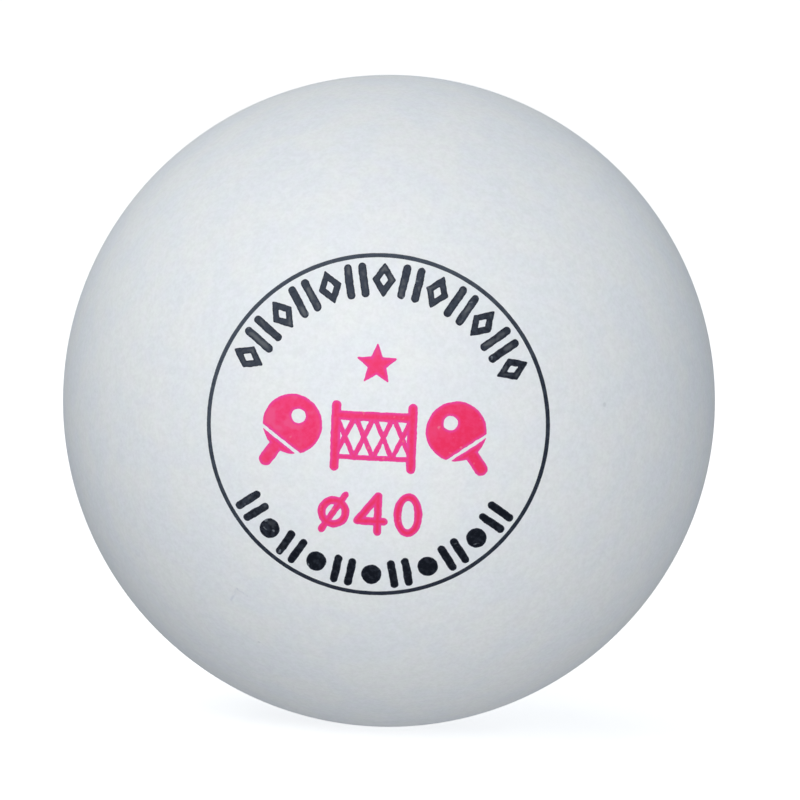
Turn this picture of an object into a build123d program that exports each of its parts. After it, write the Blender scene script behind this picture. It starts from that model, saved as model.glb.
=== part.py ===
from build123d import *
from math import asin, atan2, cos, degrees, hypot, pi, sin, sqrt
import os

# Table tennis ball of the 40+ class: two moulded half shells cemented into one sealed hollow ball, with a
# stamp printed on it in two inks.
# Frame: the origin is the ball's centre and +Z is up. The stamp faces -Y, the shells meet on the plane
# y = 0, and everything but the stamp is turned about the Y axis. Sizes are in millimetres.

os.makedirs("parts", exist_ok=True)

# Shells
ball_diameter = 40.3
wall = 0.462
lip_reach = 1.2  # how far the rear shell's lip reaches into the front shell
lip_thickness = 0.35
root_length = 1.0  # straight part of the thickened root that carries the lip
root_taper = 2.5  # run over which the root thins out to the plain wall
edge_bevel = 0.05  # bevel on the outer corner of each edge, which draws the hairline seam

# Cement
cement_film = 0.05  # between the two edges, and between the lip and the front shell
bead_size = 0.3  # squeezed-out bead behind the lip

# Ink, measured across the stamp as seen along the Y axis
ink_thickness = 0.02
ring_radius = 10.04
ring_line = 0.24
upper_band = (7.62, 9.66)  # inner and outer radius
upper_half_angle = 64.6  # from the top of the stamp to the last mark's centre
upper_marks = 13
lower_band = (7.97, 9.74)
lower_half_angle = 54.7
lower_marks = 11
band_stroke = 0.48
lozenge_width = 1.42
lozenge_line = 0.38
bar_spacing = 0.86  # between the middles of the two bars of a pair
dot_radius = 0.6
star_points = 5
star_tip_radius = 1.28
star_root_ratio = 0.44
star_height = 3.72  # of its centre above the stamp's centre
row_height = -0.55  # of the pictogram row's centre
row_pitch = 5.2
blade_radius = 1.78
blade_hole = 0.42  # radius of the unprinted ball on the blade
blade_hole_rise = 0.6
handle_length = 1.3
handle_width = 0.8
bat_tilt = 35
throat_depth = 1.2  # of the unprinted line across the blade, below the blade's centre
throat_gap = 0.2
net_width = 4.5
net_height = 2.45
net_tape = 0.56  # width of the posts and of the net's top edge
net_cord = 0.3
net_cells = 4
post_height = 3.6
size_height = -5.12  # of the size mark's centre
size_tall = 2.66
size_stroke = 0.48
size_pitch = 2.2
sign_radius = 0.95
slash_lean = 0.7
slash_stroke = 0.4
four_stem_x = 0.42
four_reach = 0.78
four_bar_drop = 0.45
zero_half_width = 0.85
red_shift = -0.15  # sideways misregister of the second ink

# Worked out from the above
ball_radius = ball_diameter / 2
inner_radius = ball_radius - wall
lip_outer = inner_radius - cement_film
lip_inner = lip_outer - lip_thickness
front_edge = -cement_film / 2
rear_edge = cement_film / 2
stamp_start = 15.5  # depth along -Y at which the ink prisms start, inside the ball
stamp_length = 6.0


def meridian_point(radius, y):
    """Point at height y on the circle that turns into a sphere of this radius."""
    return (sqrt(radius**2 - y**2), y)


def meridian_arc(radius, y_start, y_end):
    """Arc of that circle between two heights."""
    middle = (asin(y_start / radius) + asin(y_end / radius)) / 2
    ThreePointArc(
        meridian_point(radius, y_start),
        (radius * cos(middle), radius * sin(middle)),
        meridian_point(radius, y_end),
    )


def bevelled_edge(y_edge, y_outer):
    """Corner between the outer surface and an edge face; returns the point where the edge face starts."""
    outer_x = meridian_point(ball_radius, y_edge)[0]
    face_start = (outer_x - edge_bevel, y_edge)
    Line(meridian_point(ball_radius, y_outer), face_start)
    return face_start


def stroke(start, end, width, mode=Mode.ADD):
    """Straight stroke of ink, or of no ink, with round ends."""
    run = (end[0] - start[0], end[1] - start[1])
    middle = ((start[0] + end[0]) / 2, (start[1] + end[1]) / 2, 0)
    with Locations(Location(middle, (0, 0, degrees(atan2(run[1], run[0]))))):
        SlotCenterToCenter(hypot(*run), width, mode=mode)


def lozenge(height, width, mode=Mode.ADD):
    Polygon((height / 2, 0), (0, width / 2), (-height / 2, 0), (0, -width / 2), mode=mode)


def keep_ink_film():
    """Cuts a prism of the stamp down to the film that lies on the ball."""
    Sphere(ball_radius + ink_thickness, mode=Mode.INTERSECT)
    Sphere(ball_radius, mode=Mode.SUBTRACT)


stamp_plane = Plane.XZ.offset(stamp_start)
red_plane = stamp_plane.shift_origin(stamp_plane.from_local_coords((red_shift, 0, 0)))

# Front shell: plain wall with a butt edge
with BuildPart() as front_shell:
    with BuildSketch(Plane.XY):
        with BuildLine():
            meridian_arc(ball_radius, -ball_radius, front_edge - edge_bevel)
            face_start = bevelled_edge(front_edge, front_edge - edge_bevel)
            Line(face_start, meridian_point(inner_radius, front_edge))
            meridian_arc(inner_radius, front_edge, -inner_radius)
            Line((0, -inner_radius), (0, -ball_radius))
        make_face()
    revolve(axis=Axis.Y)
front_shell.part.label = "front_shell"
export_step(front_shell.part, "parts/front_shell.step")

# Rear shell: the same wall, thickened at its root into a lip that nests inside the front shell
with BuildPart() as rear_shell:
    with BuildSketch(Plane.XY):
        with BuildLine():
            meridian_arc(ball_radius, ball_radius, rear_edge + edge_bevel)
            face_start = bevelled_edge(rear_edge, rear_edge + edge_bevel)
            Line(face_start, meridian_point(lip_outer, rear_edge))
            meridian_arc(lip_outer, rear_edge, -lip_reach)
            Line(meridian_point(lip_outer, -lip_reach), meridian_point(lip_inner, -lip_reach))
            meridian_arc(lip_inner, -lip_reach, root_length)
            taper_end = meridian_point(inner_radius, root_length + root_taper)
            Line(meridian_point(lip_inner, root_length), taper_end)
            meridian_arc(inner_radius, taper_end[1], inner_radius)
            Line((0, inner_radius), (0, ball_radius))
        make_face()
    revolve(axis=Axis.Y)
rear_shell.part.label = "rear_shell"
export_step(rear_shell.part, "parts/rear_shell.step")

# Cement: a film between the edges and round the lip, ending in a bead on the inside
with BuildPart() as seam_cement:
    with BuildSketch(Plane.XY):
        with BuildLine():
            seam_x = meridian_point(ball_radius, front_edge)[0] - edge_bevel
            Line((seam_x, front_edge), (seam_x, rear_edge))
            Line((seam_x, rear_edge), meridian_point(lip_outer, rear_edge))
            meridian_arc(lip_outer, rear_edge, -lip_reach)
            lip_corner = meridian_point(lip_outer, -lip_reach)
            bead_start = (lip_corner[0] - bead_size / 2, -lip_reach)
            bead_end = meridian_point(inner_radius, -lip_reach - bead_size)
            Line(lip_corner, bead_start)
            Line(bead_start, bead_end)
            meridian_arc(inner_radius, bead_end[1], front_edge)
            Line(meridian_point(inner_radius, front_edge), (seam_x, front_edge))
        make_face()
    revolve(axis=Axis.Y)
seam_cement.part.label = "seam_cement"
export_step(seam_cement.part, "parts/seam_cement.step")

# Dark ink: ring round the stamp
with BuildPart() as print_ring:
    with BuildSketch(stamp_plane):
        Circle(ring_radius + ring_line / 2)
        Circle(ring_radius - ring_line / 2, mode=Mode.SUBTRACT)
    extrude(amount=stamp_length)
    keep_ink_film()
print_ring.part.label = "print_ring"
export_step(print_ring.part, "parts/print_ring.step")

# Dark ink: band along the top, open lozenges with pairs of bars between them
upper_radius = (upper_band[0] + upper_band[1]) / 2
upper_tall = upper_band[1] - upper_band[0]
upper_step = 2 * upper_half_angle / (upper_marks - 1)
lozenge_slope = sqrt(upper_tall**2 + lozenge_width**2) / (upper_tall * lozenge_width)
lozenge_hole = 1 - 2 * lozenge_line * lozenge_slope
with BuildPart() as print_upper_band:
    with BuildSketch(stamp_plane):
        first_lozenge = 90 - upper_half_angle
        lozenges = upper_marks // 2 + 1
        with PolarLocations(upper_radius, lozenges, first_lozenge, 2 * upper_half_angle, endpoint=True):
            lozenge(upper_tall, lozenge_width)
            lozenge(upper_tall * lozenge_hole, lozenge_width * lozenge_hole, mode=Mode.SUBTRACT)
        first_pair = first_lozenge + upper_step
        pair_arc = 2 * (upper_half_angle - upper_step)
        with PolarLocations(upper_radius, lozenges - 1, first_pair, pair_arc, endpoint=True):
            with Locations((0, -bar_spacing / 2), (0, bar_spacing / 2)):
                SlotOverall(upper_tall, band_stroke)
    extrude(amount=stamp_length)
    keep_ink_film()
print_upper_band.part.label = "print_upper_band"
export_step(print_upper_band.part, "parts/print_upper_band.step")

# Dark ink: band along the bottom, bars with dots between them
lower_radius = (lower_band[0] + lower_band[1]) / 2
lower_tall = lower_band[1] - lower_band[0]
lower_step = 2 * lower_half_angle / (lower_marks - 1)
with BuildPart() as print_lower_band:
    with BuildSketch(stamp_plane):
        first_bar = -90 - lower_half_angle
        bars = lower_marks // 2 + 1
        with PolarLocations(lower_radius, bars, first_bar, 2 * lower_half_angle, endpoint=True):
            with Locations((0, -bar_spacing / 2), (0, bar_spacing / 2)):
                SlotOverall(lower_tall, band_stroke)
        dot_arc = 2 * (lower_half_angle - lower_step)
        with PolarLocations(lower_radius, bars - 1, first_bar + lower_step, dot_arc, endpoint=True):
            Circle(dot_radius)
    extrude(amount=stamp_length)
    keep_ink_film()
print_lower_band.part.label = "print_lower_band"
export_step(print_lower_band.part, "parts/print_lower_band.step")

# Pink-red ink: grade star
with BuildPart() as print_star:
    with BuildSketch(red_plane):
        corners = []
        for corner in range(2 * star_points):
            reach = star_tip_radius * (1 if corner % 2 == 0 else star_root_ratio)
            turn = pi / 2 + corner * pi / star_points
            corners.append((reach * cos(turn), star_height + reach * sin(turn)))
        Polygon(*corners, align=None)
    extrude(amount=stamp_length)
    keep_ink_film()
print_star.part.label = "print_star"
export_step(print_star.part, "parts/print_star.step")

# Pink-red ink: row of a bat, a net and a bat
handle_end = -(blade_radius + handle_length - handle_width / 2)
throat_half_length = sqrt(blade_radius**2 - throat_depth**2) + throat_gap
net_top = row_height + net_height / 2
net_bottom = row_height - net_height / 2
net_cell = net_width / net_cells
post_foot = row_height - post_height / 2
with BuildPart() as print_pictograms:
    with BuildSketch(red_plane):
        for side in (-1, 1):
            bat_centre = Location((side * row_pitch, row_height, 0), (0, 0, side * bat_tilt))
            with Locations(bat_centre * Location((0, handle_length / 2, 0))):
                Circle(blade_radius)
                stroke((0, -blade_radius), (0, handle_end), handle_width)
                throat = ((-throat_half_length, -throat_depth), (throat_half_length, -throat_depth))
                stroke(*throat, throat_gap, mode=Mode.SUBTRACT)
                with Locations((0, blade_hole_rise)):
                    Circle(blade_hole, mode=Mode.SUBTRACT)
            post_x = side * net_width / 2
            stroke((post_x, post_foot), (post_x, post_foot + post_height), net_tape)
        stroke((-net_width / 2, net_top), (net_width / 2, net_top), net_tape)
        stroke((-net_width / 2, net_bottom), (net_width / 2, net_bottom), net_cord)
        for index in range(net_cells):
            left = -net_width / 2 + index * net_cell
            stroke((left, net_bottom), (left + net_cell, net_top), net_cord)
            stroke((left, net_top), (left + net_cell, net_bottom), net_cord)
    extrude(amount=stamp_length)
    keep_ink_film()
print_pictograms.part.label = "print_pictograms"
export_step(print_pictograms.part, "parts/print_pictograms.step")

# Pink-red ink: size mark, a diameter sign and the number 40
half_tall = (size_tall - size_stroke) / 2
size_top = size_height + half_tall
size_bottom = size_height - half_tall
bar_height = size_height - four_bar_drop
with BuildPart() as print_size_mark:
    with BuildSketch(red_plane):
        with Locations((-size_pitch, size_height)):
            Circle(sign_radius)
            Circle(sign_radius - size_stroke, mode=Mode.SUBTRACT)
        stroke((-size_pitch - slash_lean, size_bottom), (-size_pitch + slash_lean, size_top), slash_stroke)
        stroke((four_stem_x, size_bottom), (four_stem_x, size_top), size_stroke)
        stroke((four_stem_x, size_top), (-four_reach, bar_height), size_stroke)
        stroke((-four_reach, bar_height), (four_reach, bar_height), size_stroke)
        with Locations((size_pitch, size_height)):
            Ellipse(zero_half_width, size_tall / 2)
            Ellipse(zero_half_width - size_stroke, size_tall / 2 - size_stroke, mode=Mode.SUBTRACT)
    extrude(amount=stamp_length)
    keep_ink_film()
print_size_mark.part.label = "print_size_mark"
export_step(print_size_mark.part, "parts/print_size_mark.step")
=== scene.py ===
import math
import bmesh
import bpy
from mathutils import Matrix, Vector, noise


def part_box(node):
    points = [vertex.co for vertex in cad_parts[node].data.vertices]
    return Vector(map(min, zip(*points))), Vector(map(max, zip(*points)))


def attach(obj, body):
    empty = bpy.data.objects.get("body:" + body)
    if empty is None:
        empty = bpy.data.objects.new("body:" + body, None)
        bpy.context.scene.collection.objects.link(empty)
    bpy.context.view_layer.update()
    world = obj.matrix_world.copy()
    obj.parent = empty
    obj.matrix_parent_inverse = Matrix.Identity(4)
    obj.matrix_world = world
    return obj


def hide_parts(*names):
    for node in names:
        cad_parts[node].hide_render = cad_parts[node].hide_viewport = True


# Table tennis ball of the 40+ class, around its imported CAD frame: origin at the ball's centre, +Z up, the
# stamp facing -Y, the seam on the plane y = 0. Lengths are in millimetres until a point is made.

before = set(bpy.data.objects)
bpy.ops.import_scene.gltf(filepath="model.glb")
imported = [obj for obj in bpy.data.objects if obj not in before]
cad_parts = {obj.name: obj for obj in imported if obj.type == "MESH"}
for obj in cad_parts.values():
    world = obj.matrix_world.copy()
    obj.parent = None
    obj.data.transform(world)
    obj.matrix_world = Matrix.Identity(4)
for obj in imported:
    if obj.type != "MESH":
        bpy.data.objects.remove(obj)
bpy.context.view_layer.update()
MM = 0.001


# ---- sizes, from the frame where it holds them ----------------------------------------------------------


def node_box(node):
    """Lowest and highest corner of a CAD node, in millimetres."""
    low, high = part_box(node)
    return Vector(low) / MM, Vector(high) / MM


def node_middle(node):
    """Middle of a CAD node as seen along Y: (x, z) in millimetres."""
    low, high = node_box(node)
    return ((low.x + high.x) / 2, (low.z + high.z) / 2)


BALL_RADIUS = node_box("front_shell")[1].x
WALL = 0.462
LIP_REACH = -node_box("rear_shell")[0].y
LIP_THICKNESS = 0.35
ROOT_LENGTH = 1.0
ROOT_TAPER = 2.5
CEMENT_FILM = 0.05
CEMENT_SINK = 0.012  # of the cement below the ball's surface, in the seam
CEMENT_SAG = 0.005  # of the seam's middle below its edges
BEAD_SIZE = 0.3
EDGE_ROUND = 0.015  # the seam is ground nearly flush, so the outline stays smooth across it
INNER_RADIUS = BALL_RADIUS - WALL
LIP_OUTER = INNER_RADIUS - CEMENT_FILM
LIP_INNER = LIP_OUTER - LIP_THICKNESS
SEGMENTS = 256  # round the ball
MERIDIAN_STEPS = 72  # from a pole to the seam
LIP_STEPS = 6
ROOT_STEPS = 8
EDGE_STEPS = 4
BEAD_STEPS = 6
POLE_TOLERANCE = 0.006  # a point of an outline nearer the axis than this is a pole

INK_THICKNESS = 0.018
INK_RIM = 0.006  # thickness at a mark's outline
INK_SHOULDER = 0.09  # width over which the film thickens inwards
INK_SINK = 0.004  # of the film's underside into the shell, so that no gap shows
INK_CELL = 0.05  # grid that the films are built on
INK_CUT = 0.08  # least share of a cell's side that the outline cuts off, so that no sliver forms
WAVER_REACH = 4 * INK_CELL  # how far outside a mark its outline's unevenness is still worked out
BROAD_WAVER = (1.7, 0.03)  # waves per millimetre and height of the outlines' unevenness
FINE_WAVER = (6.0, 0.022)
RING_WAVER = 0.25  # share of it on the ring
RING_LINE = 0.24
RING_RADIUS = node_box("print_ring")[1].x - RING_LINE / 2
UPPER_BAND = (7.62, 9.66)
UPPER_HALF_ANGLE = 64.6
UPPER_MARKS = 13
LOWER_BAND = (7.97, 9.74)
LOWER_HALF_ANGLE = 54.7
LOWER_MARKS = 11
BAND_STROKE = 0.48
LOZENGE_WIDTH = 1.42
LOZENGE_LINE = 0.38
LOZENGE_ROUND = 0.06  # radius of its corners
BAR_SPACING = 0.86
DOT_RADIUS = 0.6
STAR_POINTS = 5
STAR_ROUND = 0.05
STAR_TIP = 1.28
STAR_ROOT = 0.44
STAR_DROP = STAR_TIP * (1 - math.cos(math.pi / STAR_POINTS)) / 2  # of its centre below its box's middle
BLADE_RADIUS = 1.78
BLADE_HOLE = 0.42
BLADE_HOLE_RISE = 0.6
HANDLE_LENGTH = 1.3
HANDLE_WIDTH = 0.8
BAT_TILT = 35
ROW_PITCH = 5.2
ROW_HEIGHT = -0.55
THROAT_DEPTH = 1.2
THROAT_GAP = 0.2
NET_WIDTH = 4.5
NET_HEIGHT = 2.45
NET_TAPE = 0.56
NET_CORD = 0.3
NET_CELLS = 4
POST_HEIGHT = 3.6
SIZE_TALL = 2.66
SIZE_STROKE = 0.48
SIZE_PITCH = 2.2
SIGN_RADIUS = 0.95
SLASH_LEAN = 0.7
SLASH_STROKE = 0.4
FOUR_STEM_X = 0.42
FOUR_REACH = 0.78
FOUR_BAR_DROP = 0.45
ZERO_HALF_WIDTH = 0.85


# ---- meshes ---------------------------------------------------------------------------------------------


def place(name, mesh, sharp_angle=40):
    """Turns a bmesh into a shaded object at the origin."""
    bmesh.ops.recalc_face_normals(mesh, faces=mesh.faces)
    data = bpy.data.meshes.new(name)
    mesh.to_mesh(data)
    mesh.free()
    data.shade_smooth()
    data.set_sharp_from_angle(angle=math.radians(sharp_angle))
    piece = bpy.data.objects.new(name, data)
    bpy.context.scene.collection.objects.link(piece)
    return piece


def turned(name, outline, segments=SEGMENTS):
    """Solid turned about Y from a closed outline of (radius, y) points. Points on the axis become poles."""
    mesh = bmesh.new()
    rings = []
    for radius, y in outline:
        if radius < POLE_TOLERANCE:
            rings.append([mesh.verts.new((0, y * MM, 0))] * segments)
            continue
        ring = []
        for index in range(segments):
            turn = 2 * math.pi * index / segments
            ring.append(mesh.verts.new((radius * math.cos(turn) * MM, y * MM, radius * math.sin(turn) * MM)))
        rings.append(ring)
    for near, far in zip(rings, rings[1:] + rings[:1]):
        if near[0] is near[1] and far[0] is far[1]:
            continue
        for index in range(segments):
            after = (index + 1) % segments
            corners = dict.fromkeys((near[index], near[after], far[after], far[index]))
            mesh.faces.new(list(corners))
    return place(name, mesh)


def arc(radius, y_start, y_end, steps, centre=(0.0, 0.0)):
    """Points of a circle about a centre in the outline's plane, between two heights above that centre."""
    first, last = math.asin(y_start / radius), math.asin(y_end / radius)
    turns = (first + (last - first) * step / steps for step in range(steps + 1))
    return [(centre[0] + radius * math.cos(turn), centre[1] + radius * math.sin(turn)) for turn in turns]


def at_height(radius, y):
    return math.sqrt(radius**2 - y**2)


def rounded_edge(y_edge, side):
    """Rounded corner from the ball's surface to an edge face on the plane y_edge, on the shell's side."""
    y_centre = y_edge + side * EDGE_ROUND
    x_centre = at_height(BALL_RADIUS - EDGE_ROUND, y_centre)
    return arc(EDGE_ROUND, 0.0, -side * EDGE_ROUND, EDGE_STEPS, (x_centre, y_centre))


def half_shell_outer(side):
    """Outline of a shell's outside, from its pole to the start of its edge face."""
    y_edge = side * CEMENT_FILM / 2
    y_round = y_edge + side * EDGE_ROUND
    return arc(BALL_RADIUS, side * BALL_RADIUS, y_round, MERIDIAN_STEPS)[:-1] + rounded_edge(y_edge, side)


def front_shell():
    y_edge = -CEMENT_FILM / 2
    outline = half_shell_outer(-1)
    outline += arc(INNER_RADIUS, y_edge, -INNER_RADIUS, MERIDIAN_STEPS)
    return turned("front_shell_moulding", outline)


def rear_shell():
    y_edge = CEMENT_FILM / 2
    outline = half_shell_outer(1)
    outline += arc(LIP_OUTER, y_edge, -LIP_REACH, LIP_STEPS)
    outline += arc(LIP_INNER, -LIP_REACH, ROOT_LENGTH, ROOT_STEPS)
    outline += arc(INNER_RADIUS, ROOT_LENGTH + ROOT_TAPER, INNER_RADIUS, MERIDIAN_STEPS)
    return turned("rear_shell_moulding", outline)


def seam_cement():
    seam_x = at_height(BALL_RADIUS, 0) - CEMENT_SINK
    film = CEMENT_FILM / 2
    outline = [(seam_x, -film), (seam_x - CEMENT_SAG, 0), (seam_x, film)]
    outline += arc(LIP_OUTER, film, -LIP_REACH, LIP_STEPS)
    lip_x = at_height(LIP_OUTER, -LIP_REACH)
    for step in range(1, BEAD_STEPS):
        turn = math.pi / 2 * step / BEAD_STEPS
        sag = 1 - math.sin(turn)
        outline.append((lip_x - BEAD_SIZE / 2 * (1 - sag), -LIP_REACH - BEAD_SIZE * (1 - math.cos(turn))))
    outline += arc(INNER_RADIUS, -LIP_REACH - BEAD_SIZE, -film, ROOT_STEPS)
    return turned("seam_cement_bead", outline)


# ---- ink shapes: signed distances in the stamp's plane, negative inside the ink ---------------------------


def stroke(start, end, width):
    ax, az = start
    bx, bz = end
    length2 = (bx - ax) ** 2 + (bz - az) ** 2

    def distance(x, z):
        along = ((x - ax) * (bx - ax) + (z - az) * (bz - az)) / length2
        along = min(1.0, max(0.0, along))
        return math.hypot(x - ax - along * (bx - ax), z - az - along * (bz - az)) - width / 2

    return distance


def circle(centre, radius, line=None):
    """Disc, or a ring of this outer radius if a line width is given."""
    cx, cz = centre

    def distance(x, z):
        out = math.hypot(x - cx, z - cz) - radius
        return out if line is None else abs(out + line / 2) - line / 2

    return distance


def ellipse_ring(centre, half_width, half_height, line):
    cx, cz = centre

    def distance(x, z):
        u, w = (x - cx) / half_width, (z - cz) / half_height
        reach = math.hypot(u, w)
        slope = math.hypot(u / half_width, w / half_height)
        out = reach * (reach - 1) / max(slope, 0.01)
        return abs(out + line / 2) - line / 2

    return distance


def polygon(points, line=None):
    """Filled polygon, or its outline of this width inside the edge."""
    sides = list(zip(points, points[1:] + points[:1]))
    edges = [stroke(a, b, 0.0) for a, b in sides]

    def distance(x, z):
        nearest = min(edge(x, z) for edge in edges)
        inside = False
        for (ax, az), (bx, bz) in sides:
            if (az > z) != (bz > z) and x < ax + (bx - ax) * (z - az) / (bz - az):
                inside = not inside
        out = -nearest if inside else nearest
        return out if line is None else abs(out + line / 2) - line / 2

    return distance


def union(*shapes):
    return lambda x, z: min(shape(x, z) for shape in shapes)


def without(shape, *cuts):
    """The shape with other shapes left unprinted."""
    return lambda x, z: max(shape(x, z), *(-cut(x, z) for cut in cuts))


def rounded(shape, radius):
    """The shape grown by a radius: made from a shape drawn that much smaller, its corners come out round."""
    return lambda x, z: shape(x, z) - radius


def placed(shape, centre, degrees):
    """The shape turned about its own origin and moved to a centre."""
    cos, sin = math.cos(math.radians(degrees)), math.sin(math.radians(degrees))

    def distance(x, z):
        dx, dz = x - centre[0], z - centre[1]
        return shape(dx * cos + dz * sin, dz * cos - dx * sin)

    return distance


def round_the_stamp(radius, degrees):
    """Centre of a mark at an angle about the stamp's middle."""
    turn = math.radians(degrees)
    return (radius * math.cos(turn), radius * math.sin(turn))


def wobble(x, z):
    """Small unevenness of a printed outline."""
    total = 0.0
    for (waves, height), layer in ((BROAD_WAVER, 3.1), (FINE_WAVER, 8.4)):
        total += height * noise.noise(Vector((x * waves, z * waves, layer)))
    return total


def film(name, marks, waver=1.0):
    """Ink film on the ball. Each mark is (shape, middle, reach): its distance function and its square."""
    mesh = bmesh.new()
    depth_layer = mesh.verts.layers.float.new("ink_depth")
    for shape, (middle_x, middle_z), reach in marks:
        cells = math.ceil(2 * reach / INK_CELL)
        start_x = middle_x - cells * INK_CELL / 2
        start_z = middle_z - cells * INK_CELL / 2
        values = {}
        for column in range(cells + 1):
            for row in range(cells + 1):
                x, z = start_x + column * INK_CELL, start_z + row * INK_CELL
                value = shape(x, z)
                values[column, row] = value + waver * wobble(x, z) if value < WAVER_REACH else value
        found = {}

        def vertex(column, row, depth):
            """Top and bottom vertex of the film at a place on the grid."""
            key = (round(column, 4), round(row, 4))
            if key not in found:
                x, z = start_x + column * INK_CELL, start_z + row * INK_CELL
                foot = Vector((x, -math.sqrt(BALL_RADIUS**2 - x**2 - z**2), z))
                rise = min(1.0, depth / INK_SHOULDER)
                thick = INK_RIM + (INK_THICKNESS - INK_RIM) * math.sqrt(1 - (1 - rise) ** 2)
                pair = []
                for height in (thick, -INK_SINK):
                    made = mesh.verts.new(foot * (1 + height / BALL_RADIUS) * MM)
                    made[depth_layer] = depth
                    pair.append(made)
                found[key] = pair
            return found[key]

        for column in range(cells):
            for row in range(cells):
                corners = [(column, row), (column + 1, row), (column + 1, row + 1), (column, row + 1)]
                if min(values[corner] for corner in corners) >= 0:
                    continue
                loop = []
                for here, there in zip(corners, corners[1:] + corners[:1]):
                    low, high = values[here], values[there]
                    if low < 0:
                        loop.append(vertex(*here, -low))
                    if (low < 0) != (high < 0):
                        cut = min(1 - INK_CUT, max(INK_CUT, low / (low - high)))
                        step_x, step_z = there[0] - here[0], there[1] - here[1]
                        loop.append(vertex(here[0] + cut * step_x, here[1] + cut * step_z, 0.0))
                if len(loop) > 2:
                    mesh.faces.new([pair[0] for pair in loop])
                    mesh.faces.new([pair[1] for pair in reversed(loop)])
        below = {pair[0]: pair[1] for pair in found.values()}
        rim = [edge for edge in mesh.edges if len(edge.link_faces) == 1 and edge.verts[0] in below]
        for edge in rim:
            first, second = edge.verts
            mesh.faces.new((first, second, below[second], below[first]))
    return place(name, mesh, sharp_angle=60)


def ring_marks():
    return [(circle((0, 0), RING_RADIUS + RING_LINE / 2, RING_LINE), (0, 0), RING_RADIUS + RING_LINE)]


def bars(tall):
    """Pair of upright bars; the mark's own x axis points out from the stamp's middle."""
    half = (tall - BAND_STROKE) / 2
    sides = (-BAR_SPACING / 2, BAR_SPACING / 2)
    return union(*(stroke((-half, side), (half, side), BAND_STROKE) for side in sides))


def upper_marks():
    radius = sum(UPPER_BAND) / 2
    tall = UPPER_BAND[1] - UPPER_BAND[0]
    shrink = 1 - LOZENGE_ROUND * 2 * math.hypot(tall, LOZENGE_WIDTH) / (tall * LOZENGE_WIDTH)
    half_tall, half_wide = tall / 2 * shrink, LOZENGE_WIDTH / 2 * shrink
    outline = [(half_tall, 0), (0, half_wide), (-half_tall, 0), (0, -half_wide)]
    lozenge = rounded(polygon(outline, LOZENGE_LINE - 2 * LOZENGE_ROUND), LOZENGE_ROUND)
    marks = []
    for index in range(UPPER_MARKS):
        degrees = 90 - UPPER_HALF_ANGLE + 2 * UPPER_HALF_ANGLE * index / (UPPER_MARKS - 1)
        centre = round_the_stamp(radius, degrees)
        shape = bars(tall) if index % 2 else lozenge
        marks.append((placed(shape, centre, degrees), centre, tall * 0.6))
    return marks


def lower_marks():
    radius = sum(LOWER_BAND) / 2
    tall = LOWER_BAND[1] - LOWER_BAND[0]
    marks = []
    for index in range(LOWER_MARKS):
        degrees = -90 - LOWER_HALF_ANGLE + 2 * LOWER_HALF_ANGLE * index / (LOWER_MARKS - 1)
        centre = round_the_stamp(radius, degrees)
        shape = circle((0, 0), DOT_RADIUS) if index % 2 else bars(tall)
        marks.append((placed(shape, centre, degrees), centre, tall * 0.65))
    return marks


def star_marks():
    points = []
    for corner in range(2 * STAR_POINTS):
        reach = (STAR_TIP - 2 * STAR_ROUND) * (STAR_ROOT if corner % 2 else 1)
        turn = math.pi / 2 + corner * math.pi / STAR_POINTS
        points.append((reach * math.cos(turn), reach * math.sin(turn)))
    middle = node_middle("print_star")
    centre = (middle[0], middle[1] - STAR_DROP)
    return [(placed(rounded(polygon(points), STAR_ROUND), centre, 0), centre, STAR_TIP * 1.1)]


def pictogram_marks():
    row_x = node_middle("print_pictograms")[0]
    throat_half = math.sqrt(BLADE_RADIUS**2 - THROAT_DEPTH**2) + THROAT_GAP
    handle_end = -(BLADE_RADIUS + HANDLE_LENGTH - HANDLE_WIDTH / 2)
    bat = without(
        union(circle((0, 0), BLADE_RADIUS), stroke((0, -BLADE_RADIUS), (0, handle_end), HANDLE_WIDTH)),
        stroke((-throat_half, -THROAT_DEPTH), (throat_half, -THROAT_DEPTH), THROAT_GAP),
        circle((0, BLADE_HOLE_RISE), BLADE_HOLE),
    )
    marks = []
    for side in (-1, 1):
        tilt = math.radians(side * BAT_TILT)
        lift = HANDLE_LENGTH / 2
        middle = (row_x + side * ROW_PITCH, ROW_HEIGHT)
        centre = (middle[0] - lift * math.sin(tilt), middle[1] + lift * math.cos(tilt))
        marks.append((placed(bat, centre, side * BAT_TILT), middle, (BLADE_RADIUS + HANDLE_LENGTH) * 0.86))
    top, bottom = ROW_HEIGHT + NET_HEIGHT / 2, ROW_HEIGHT - NET_HEIGHT / 2
    foot = ROW_HEIGHT - POST_HEIGHT / 2
    left, right = row_x - NET_WIDTH / 2, row_x + NET_WIDTH / 2
    cords = [
        stroke((left, foot), (left, foot + POST_HEIGHT), NET_TAPE),
        stroke((right, foot), (right, foot + POST_HEIGHT), NET_TAPE),
        stroke((left, top), (right, top), NET_TAPE),
        stroke((left, bottom), (right, bottom), NET_CORD),
    ]
    cell = NET_WIDTH / NET_CELLS
    for index in range(NET_CELLS):
        start, end = left + index * cell, left + (index + 1) * cell
        cords.append(stroke((start, bottom), (end, top), NET_CORD))
        cords.append(stroke((start, top), (end, bottom), NET_CORD))
    marks.append((union(*cords), (row_x, ROW_HEIGHT), NET_WIDTH * 0.6))
    return marks


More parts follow.
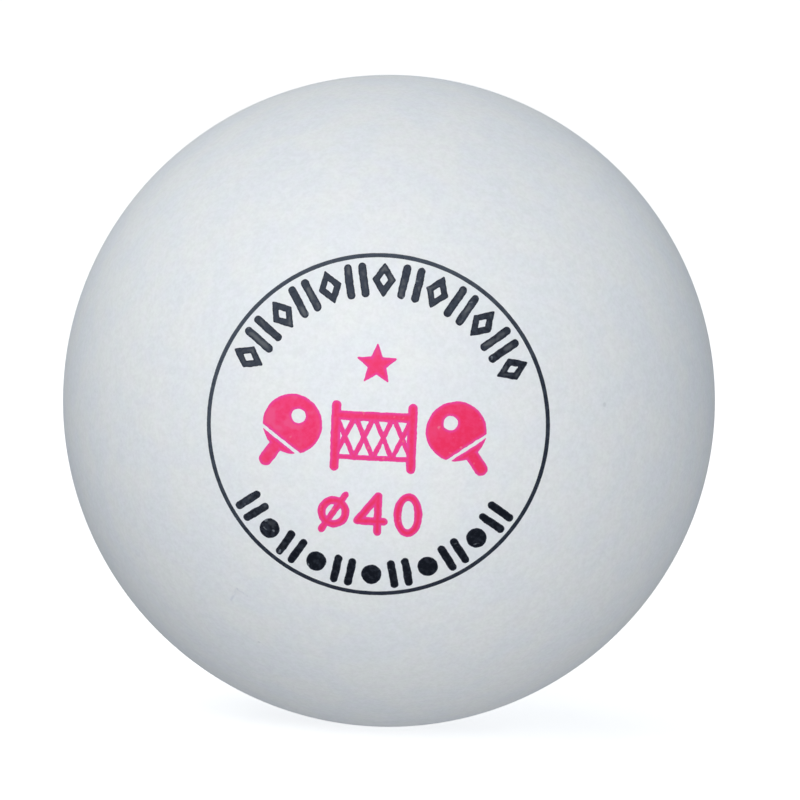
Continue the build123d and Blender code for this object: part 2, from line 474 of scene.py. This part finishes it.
def size_marks():
    middle_x, middle_z = node_middle("print_size_mark")
    half = (SIZE_TALL - SIZE_STROKE) / 2
    sign_x, zero_x = middle_x - SIZE_PITCH, middle_x + SIZE_PITCH
    shift = (SIGN_RADIUS - ZERO_HALF_WIDTH) / 2
    sign_x, four_x, zero_x = sign_x + shift, middle_x + shift, zero_x + shift
    top, bottom = middle_z + half, middle_z - half
    bar = middle_z - FOUR_BAR_DROP
    stem_x, arm_x = four_x + FOUR_STEM_X, four_x - FOUR_REACH
    sign = union(
        circle((sign_x, middle_z), SIGN_RADIUS, SIZE_STROKE),
        stroke((sign_x - SLASH_LEAN, bottom), (sign_x + SLASH_LEAN, top), SLASH_STROKE),
    )
    four = union(
        stroke((stem_x, bottom), (stem_x, top), SIZE_STROKE),
        stroke((stem_x, top), (arm_x, bar), SIZE_STROKE),
        stroke((arm_x, bar), (four_x + FOUR_REACH, bar), SIZE_STROKE),
    )
    zero = ellipse_ring((zero_x, middle_z), ZERO_HALF_WIDTH, SIZE_TALL / 2, SIZE_STROKE)
    reach = SIZE_TALL * 0.55
    return [(shape, (x, middle_z), reach) for shape, x in ((sign, sign_x), (four, four_x), (zero, zero_x))]


# ---- materials ------------------------------------------------------------------------------------------


DIRT_SPECKS = (((13.32, -15.03, 1.61), 0.19), ((-6.74, -13.02, -13.82), 0.12))  # place, radius
SPECK_TINT = (0.3, 0.33, 0.38, 1)
SPECK_STRENGTH = 0.22
SCUFF_CORNER = (-8.08, -15.23, -10.43)  # where the hooked scuff turns
SCUFFS = (((-8.45, -14.47, -11.2), SCUFF_CORNER), (SCUFF_CORNER, (-7.46, -15.3, -10.79)))
SCUFF_WIDTH = 0.3
SCUFF_TINT = (0.6, 0.64, 0.72, 1)
SCUFF_STRENGTH = 0.55
INK_SHINE = 0.05
RING_LOOK_START, RING_LOOK_END = 9.6, 9.8  # radii between which the bands' ink gives way to the ring's


class Look:
    """A material under construction: its node tree and a short way to add a linked node."""

    def __init__(self, name):
        self.material = bpy.data.materials.new(name)
        self.material.use_nodes = True
        self.tree = self.material.node_tree
        self.shader = self.tree.nodes["Principled BSDF"]
        self.place = self.add("ShaderNodeTexCoord").outputs["Object"]

    def add(self, kind, sockets=None, **settings):
        node = self.tree.nodes.new(kind)
        for key, value in settings.items():
            setattr(node, key, value)
        for key, value in (sockets or {}).items():
            self.set(node.inputs[key], value)
        return node

    def set(self, socket, value):
        if isinstance(value, bpy.types.NodeSocket):
            self.tree.links.new(value, socket)
        else:
            socket.default_value = value

    def vector(self, operation, *values):
        """Outputs of a vector sum: Vector, or Value where the result is a number."""
        return self.add("ShaderNodeVectorMath", dict(enumerate(values)), operation=operation).outputs

    def noise(self, size_mm, detail=2.0, roughness=0.5, offset=0.0):
        """Noise from 0 to 1 with blobs of about this size."""
        moved = self.vector("ADD", self.place, (offset, offset, offset))["Vector"]
        sockets = {"Vector": moved, "Scale": 1 / (size_mm * MM), "Detail": detail, "Roughness": roughness}
        return self.add("ShaderNodeTexNoise", sockets).outputs["Fac"]

    def math(self, operation, first, second=0.0, clamp=False):
        sockets = {0: first, 1: second}
        return self.add("ShaderNodeMath", sockets, operation=operation, use_clamp=clamp).outputs[0]

    def ramp(self, value, low, high, out_low=0.0, out_high=1.0):
        """Maps low..high to out_low..out_high, clamped and smooth."""
        sockets = {"Value": value, "From Min": low, "From Max": high, "To Min": out_low, "To Max": out_high}
        return self.add("ShaderNodeMapRange", sockets, interpolation_type="SMOOTHSTEP").outputs["Result"]

    def blend(self, factor, first, second, mode="MIX"):
        node = self.add("ShaderNodeMix", data_type="RGBA", blend_type=mode)
        self.set(node.inputs[0], factor)
        self.set(node.inputs[6], first)
        self.set(node.inputs[7], second)
        return node.outputs[2]

    def bump(self, height, distance_mm, strength=1.0, before=None):
        sockets = {"Height": height, "Distance": distance_mm * MM, "Strength": strength}
        if before is not None:
            sockets["Normal"] = before
        return self.add("ShaderNodeBump", sockets).outputs["Normal"]

    def segment(self, start, end):
        """Distance in millimetres from the line between two places, given in millimetres."""
        run = (Vector(end) - Vector(start)) * MM
        offset = self.vector("SUBTRACT", self.place, Vector(start) * MM)["Vector"]
        reach = self.vector("DOT_PRODUCT", offset, run)["Value"]
        along = self.math("MULTIPLY", reach, 1 / run.length_squared, clamp=True)
        foot = self.add("ShaderNodeVectorMath", {0: run, "Scale": along}, operation="SCALE").outputs["Vector"]
        gap = self.vector("DISTANCE", offset, foot)["Value"]
        return self.math("MULTIPLY", gap, 1 / MM)

    def finish(self, colour, roughness, normal=None):
        self.set(self.shader.inputs["Base Color"], colour)
        self.set(self.shader.inputs["Roughness"], roughness)
        if normal is not None:
            self.set(self.shader.inputs["Normal"], normal)
        return self.material


def shell_plastic():
    """Frosted white plastic: fine tumbled grain, faint clouds of tint, and the marks of handling."""
    look = Look("shell_plastic")
    grain = look.noise(0.2, detail=2.0)
    mottle = look.noise(0.45, detail=2.0, offset=0.4)
    clouds = look.noise(0.8, detail=1.0, offset=3.1)
    patches = look.noise(2.6, detail=2.0, offset=0.9)
    colour = look.blend(look.ramp(patches, 0.35, 0.65), (0.814, 0.844, 0.858, 1), (0.789, 0.829, 0.868, 1))
    tint = look.blend(look.ramp(clouds, 0.3, 0.7), (0.992, 1.0, 0.99, 1), (1.0, 0.99, 1.002, 1))
    colour = look.blend(1.0, colour, tint, mode="MULTIPLY")
    broad_shade = look.ramp(mottle, 0.3, 0.7, -0.019, 0.019)
    shade = look.math("ADD", broad_shade, look.ramp(grain, 0.3, 0.7, 0.976, 1.02))
    grey = look.add("ShaderNodeCombineColor", {0: shade, 1: shade, 2: shade}).outputs[0]
    colour = look.blend(1.0, colour, grey, mode="MULTIPLY")
    for place_mm, radius in DIRT_SPECKS:
        away = look.vector("DISTANCE", look.place, Vector(place_mm) * MM)["Value"]
        spread = look.ramp(away, radius * 0.4 * MM, radius * MM, SPECK_STRENGTH, 0.0)
        colour = look.blend(spread, colour, SPECK_TINT)
    for start, end in SCUFFS:
        rub = look.ramp(look.segment(start, end), 0.0, SCUFF_WIDTH / 2, 1.0, 0.0)
        rub = look.math("MULTIPLY", rub, look.ramp(grain, 0.35, 0.6, 0.0, SCUFF_STRENGTH))
        colour = look.blend(rub, colour, SCUFF_TINT)
    rough = look.ramp(mottle, 0.3, 0.7, 0.5, 0.58)
    normal = look.bump(grain, 0.006)
    normal = look.bump(mottle, 0.008, before=normal)
    look.shader.inputs["Specular IOR Level"].default_value = 0.4
    return look.finish(colour, rough, normal)


def cement_look():
    look = Look("cement")
    cloud = look.noise(0.4, detail=2.0)
    # Darker than the cement's own tone: partly the seam's own darker line, partly painted shade of the
    # shallow groove, so that the hairline shows.
    colour = look.blend(cloud, (0.46, 0.45, 0.4, 1), (0.56, 0.55, 0.5, 1))
    normal = look.bump(cloud, 0.01)
    return look.finish(colour, look.ramp(cloud, 0.3, 0.7, 0.4, 0.55), normal)


def ink_look(name, thin, dense, edge, edge_width, worn, line, pinholes, pinhole_tint):
    """Pad-printing ink: thin at the stamp's upper left, dense at its lower right, tinted at its outlines.

    line is the ring's own thin and dense ink; pinholes is the level of noise above which a pinhole opens.
    """
    look = Look(name)
    split = look.add("ShaderNodeSeparateXYZ", {0: look.place})
    slope = look.math("SUBTRACT", look.math("MULTIPLY", split.outputs[0], 0.6), split.outputs[2])
    load = look.ramp(slope, -10 * MM, 8 * MM)
    cloud = look.noise(0.28, detail=3.0, roughness=0.6)
    load = look.math("ADD", load, look.ramp(cloud, 0.3, 0.7, -0.3, 0.3), clamp=True)
    colour = look.blend(load, thin, dense)
    depth = look.add("ShaderNodeAttribute", attribute_name="ink_depth").outputs["Fac"]
    colour = look.blend(look.ramp(depth, 0.0, edge_width), edge, colour)
    starved = look.ramp(look.noise(0.9, detail=2.0, offset=2.3), 0.5, 0.66)
    starved = look.math("MULTIPLY", starved, look.ramp(depth, 0.06, 0.2))
    starved = look.math("MULTIPLY", starved, look.ramp(slope, 6 * MM, -4 * MM, 0.0, 1.0))
    colour = look.blend(starved, colour, worn)
    spots = look.noise(0.42, detail=1.0, offset=1.7)
    colour = look.blend(look.ramp(spots, pinholes, pinholes + 0.1), colour, pinhole_tint)
    flat = look.vector("MULTIPLY", look.place, (1, 0, 1))["Vector"]
    radius = look.vector("LENGTH", flat)["Value"]
    on_ring = look.ramp(radius, RING_LOOK_START * MM, RING_LOOK_END * MM)
    colour = look.blend(on_ring, colour, look.blend(load, *line))
    normal = look.bump(look.noise(0.12, detail=2.0), 0.003)
    rough = look.ramp(cloud, 0.3, 0.7, 0.5, 0.62)
    look.shader.inputs["Specular IOR Level"].default_value = INK_SHINE
    return look.finish(colour, rough, normal)


def floor_look():
    look = Look("studio_white")
    cloud = look.noise(60, detail=2.0)
    colour = look.blend(cloud, (0.86, 0.86, 0.86, 1), (0.9, 0.9, 0.9, 1))
    # The floor's glow is lower near the ball and rises towards the wall: painted shade round the ball.
    away = look.vector("LENGTH", look.place)["Value"]
    near = (PAINTED_SHADE_GLOW_SHARE, PAINTED_SHADE_GLOW_SHARE, PAINTED_SHADE_GLOW_SHARE, 1)
    glow = look.blend(look.ramp(away, 0, FLOOR_RADIUS * MM), near, (1, 1, 1, 1))
    look.set(look.shader.inputs["Emission Color"], glow)
    look.shader.inputs["Emission Strength"].default_value = FLOOR_GLOW
    return look.finish(colour, look.ramp(cloud, 0.3, 0.7, 0.8, 0.9))


# ---- the ball -------------------------------------------------------------------------------------------

shell_material = shell_plastic()
cement_material = cement_look()
dark_ink = ink_look(
    "dark_ink",
    thin=(0.05, 0.06, 0.082, 1),
    dense=(0.006, 0.008, 0.014, 1),
    edge=(0.03, 0.034, 0.052, 1),
    edge_width=0.1,
    worn=(0.115, 0.125, 0.14, 1),
    line=((0.066, 0.08, 0.105, 1), (0.024, 0.03, 0.046, 1)),
    pinholes=0.7,
    pinhole_tint=(0.16, 0.18, 0.21, 1),
)
red_ink = ink_look(
    "red_ink",
    thin=(0.9, 0.062, 0.215, 1),
    dense=(0.885, 0.037, 0.13, 1),
    edge=(0.85, 0.07, 0.36, 1),
    edge_width=0.24,
    worn=(0.88, 0.09, 0.25, 1),
    line=((0.9, 0.055, 0.19, 1), (0.87, 0.037, 0.13, 1)),
    pinholes=0.69,
    pinhole_tint=(0.84, 0.17, 0.28, 1),
)

PIECES = (
    (front_shell(), "front_shell", "shell_plastic", shell_material),
    (rear_shell(), "rear_shell", "shell_plastic", shell_material),
    (seam_cement(), "seam_cement", "cement", cement_material),
    (film("stamp_ring_ink", ring_marks(), waver=RING_WAVER), "print_ring", "dark_ink", dark_ink),
    (film("stamp_upper_band_ink", upper_marks()), "print_upper_band", "dark_ink", dark_ink),
    (film("stamp_lower_band_ink", lower_marks()), "print_lower_band", "dark_ink", dark_ink),
    (film("stamp_star_ink", star_marks()), "print_star", "red_ink", red_ink),
    (film("stamp_pictogram_ink", pictogram_marks()), "print_pictograms", "red_ink", red_ink),
    (film("stamp_size_ink", size_marks()), "print_size_mark", "red_ink", red_ink),
)
for piece, node, slot, material in PIECES:
    piece.data.materials.append(material)
    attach(piece, "root")
    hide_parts(node)


# ---- floor, light and camera ----------------------------------------------------------------------------

FLOOR_GLOW = 0.68
PAINTED_SHADE_GLOW_SHARE = 0.82  # share of the glow that is left under the ball: painted shade on the floor round the ball, so that its soft shadow shows
FLOOR_RADIUS = 900
COVE_RADIUS = 500
WALL_HEIGHT = 1600
FLOOR_SEGMENTS = 96
FLOOR_STEPS = 6
COVE_STEPS = 12


def studio_floor():
    """White floor that curves up into a wall all round. It shows to the camera but lights nothing."""
    outline = [(FLOOR_RADIUS * step / FLOOR_STEPS, 0.0) for step in range(FLOOR_STEPS + 1)]
    for step in range(1, COVE_STEPS + 1):
        turn = math.pi / 2 * step / COVE_STEPS
        outline.append((FLOOR_RADIUS + COVE_RADIUS * math.sin(turn), COVE_RADIUS * (1 - math.cos(turn))))
    outline.append((FLOOR_RADIUS + COVE_RADIUS, WALL_HEIGHT))
    mesh = bmesh.new()
    rings = []
    for radius, height in outline:
        ring = []
        for index in range(FLOOR_SEGMENTS if radius else 1):
            turn = 2 * math.pi * index / FLOOR_SEGMENTS
            corner = (radius * math.cos(turn) * MM, radius * math.sin(turn) * MM, (height - BALL_RADIUS) * MM)
            ring.append(mesh.verts.new(corner))
        rings.append(ring)
    for near, far in zip(rings, rings[1:]):
        for index in range(FLOOR_SEGMENTS):
            after = (index + 1) % FLOOR_SEGMENTS
            corners = (near[index % len(near)], far[index], far[after], near[after % len(near)])
            mesh.faces.new(list(dict.fromkeys(corners)))
    floor = place("studio_floor", mesh)
    floor.data.materials.append(floor_look())
    floor.visible_diffuse = False
    floor.visible_glossy = False
    floor.visible_transmission = False
    floor.visible_shadow = False


def direction(azimuth, elevation):
    """Unit vector from the ball towards a place: azimuth 0 is in front of the stamp, 90 is to its right."""
    a, e = math.radians(azimuth), math.radians(elevation)
    return Vector((math.sin(a) * math.cos(e), -math.cos(a) * math.cos(e), math.sin(e)))


def softbox(name, azimuth, elevation, distance, size, power, colour):
    light = bpy.data.lights.new(name, "AREA")
    light.shape = "DISK"
    light.size = size * MM
    light.energy = power
    light.color = colour
    lamp = bpy.data.objects.new(name, light)
    lamp.location = direction(azimuth, elevation) * distance * MM
    lamp.rotation_euler = direction(azimuth, elevation).to_track_quat("Z", "Y").to_euler()
    lamp.visible_camera = False
    bpy.context.scene.collection.objects.link(lamp)
    return lamp


# name, azimuth, elevation, distance, size, power in watts, colour
LIGHTS = (
    ("key_softbox", -30, 40, 800, 600, 1.45, (1.0, 0.97, 0.92)),
    ("left_softbox", -60, 60, 800, 600, 0.72, (1.0, 0.96, 0.90)),
    ("front_softbox", 0, 15, 800, 600, 1.92, (0.98, 0.98, 0.98)),
    ("top_softbox", 0, 88, 800, 600, 0.6, (1.0, 0.98, 0.95)),
    ("floor_bounce", 0, -30, 800, 600, 1.96, (1.0, 0.98, 0.93)),
    ("right_bounce", 65, -18, 800, 600, 0.42, (1.0, 0.94, 0.86)),
    ("left_rear_softbox", -120, 30, 800, 600, 0.78, (0.87, 0.95, 0.965)),
    ("right_rear_softbox", 120, 30, 800, 600, 0.84, (0.87, 0.95, 0.965)),
)
AMBIENT = (0.285, 0.3, 0.325)

studio_floor()
for light in LIGHTS:
    softbox(*light)
# It stands outside the backdrop, because nearer it would burn a bright patch onto the floor behind the ball.
rear = softbox("rear_softbox", 180, 0, 2500, 470, 19.5, (1.0, 1.0, 1.0))
rear.visible_glossy = False  # it lifts the back without a sheen along the ball's edge
world = bpy.data.worlds.new("studio_air")
bpy.context.scene.world = world
world.use_nodes = True
world.node_tree.nodes["Background"].inputs[0].default_value = (*AMBIENT, 1)
world.node_tree.nodes["Background"].inputs[1].default_value = 1.0

CAMERA_AZIMUTH = 1.894
CAMERA_ELEVATION = 4.706
CAMERA_ROLL = 2.5  # the stamp leans clockwise by this
CAMERA_DISTANCE = 400
CAMERA_LENS = 290.9  # mm, on a 36 mm wide sensor
AIM_RIGHT = 0.68  # mm at the ball, so that the ball stands a little left of the middle
AIM_UP = 0.05

camera = bpy.data.cameras.new("camera")
camera.sensor_width = 36
camera.lens = CAMERA_LENS
camera.clip_start = 0.01
camera.clip_end = 10
eye = bpy.data.objects.new("camera", camera)
back = direction(CAMERA_AZIMUTH, CAMERA_ELEVATION)
level = back.to_track_quat("Z", "Y").to_matrix()
roll = Matrix.Rotation(math.radians(CAMERA_ROLL), 3, "Z")
turned_level = level @ roll
aim = turned_level @ Vector((AIM_RIGHT, AIM_UP, 0)) * MM
eye.location = back * CAMERA_DISTANCE * MM
sight = (eye.location - aim).normalized()
tilt = back.rotation_difference(sight).to_matrix()
eye.rotation_euler = (tilt @ turned_level).to_euler()
bpy.context.scene.collection.objects.link(eye)
bpy.context.scene.camera = eye
bpy.context.scene.view_settings.view_transform = "Standard"
